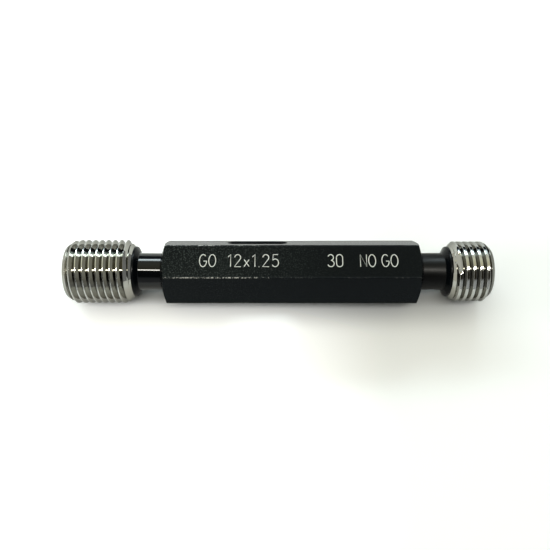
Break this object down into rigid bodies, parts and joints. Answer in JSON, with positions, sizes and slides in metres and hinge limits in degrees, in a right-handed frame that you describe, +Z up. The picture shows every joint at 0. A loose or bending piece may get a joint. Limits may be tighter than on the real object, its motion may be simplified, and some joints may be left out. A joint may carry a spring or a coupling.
{
  "type": "thread plug gauge",
  "caption": "Double-ended thread plug gauge: hexagonal handle with a longer GO thread member at one end and a shorter NO-GO thread member at the other.",
  "frame": {"origin": "centre of the gauge's footprint, on the surface that the crests of the GO thread touch", "axes": "+X along the gauge from the GO end to the NO-GO end, +Z up through the handle's top flat, +Y across to complete a right-handed frame"},
  "size_m": [0.079, 0.0126, 0.012],
  "materials": {
    "handle_black": "satin",
    "ground_steel": "satin",
    "member_black": "gloss",
    "marking_white": "matte"
  },
  "bodies": {
    "root": {"handle": "handle_black", "go_member": "ground_steel", "no_go_member": "ground_steel"}
  },
  "joints": []
}
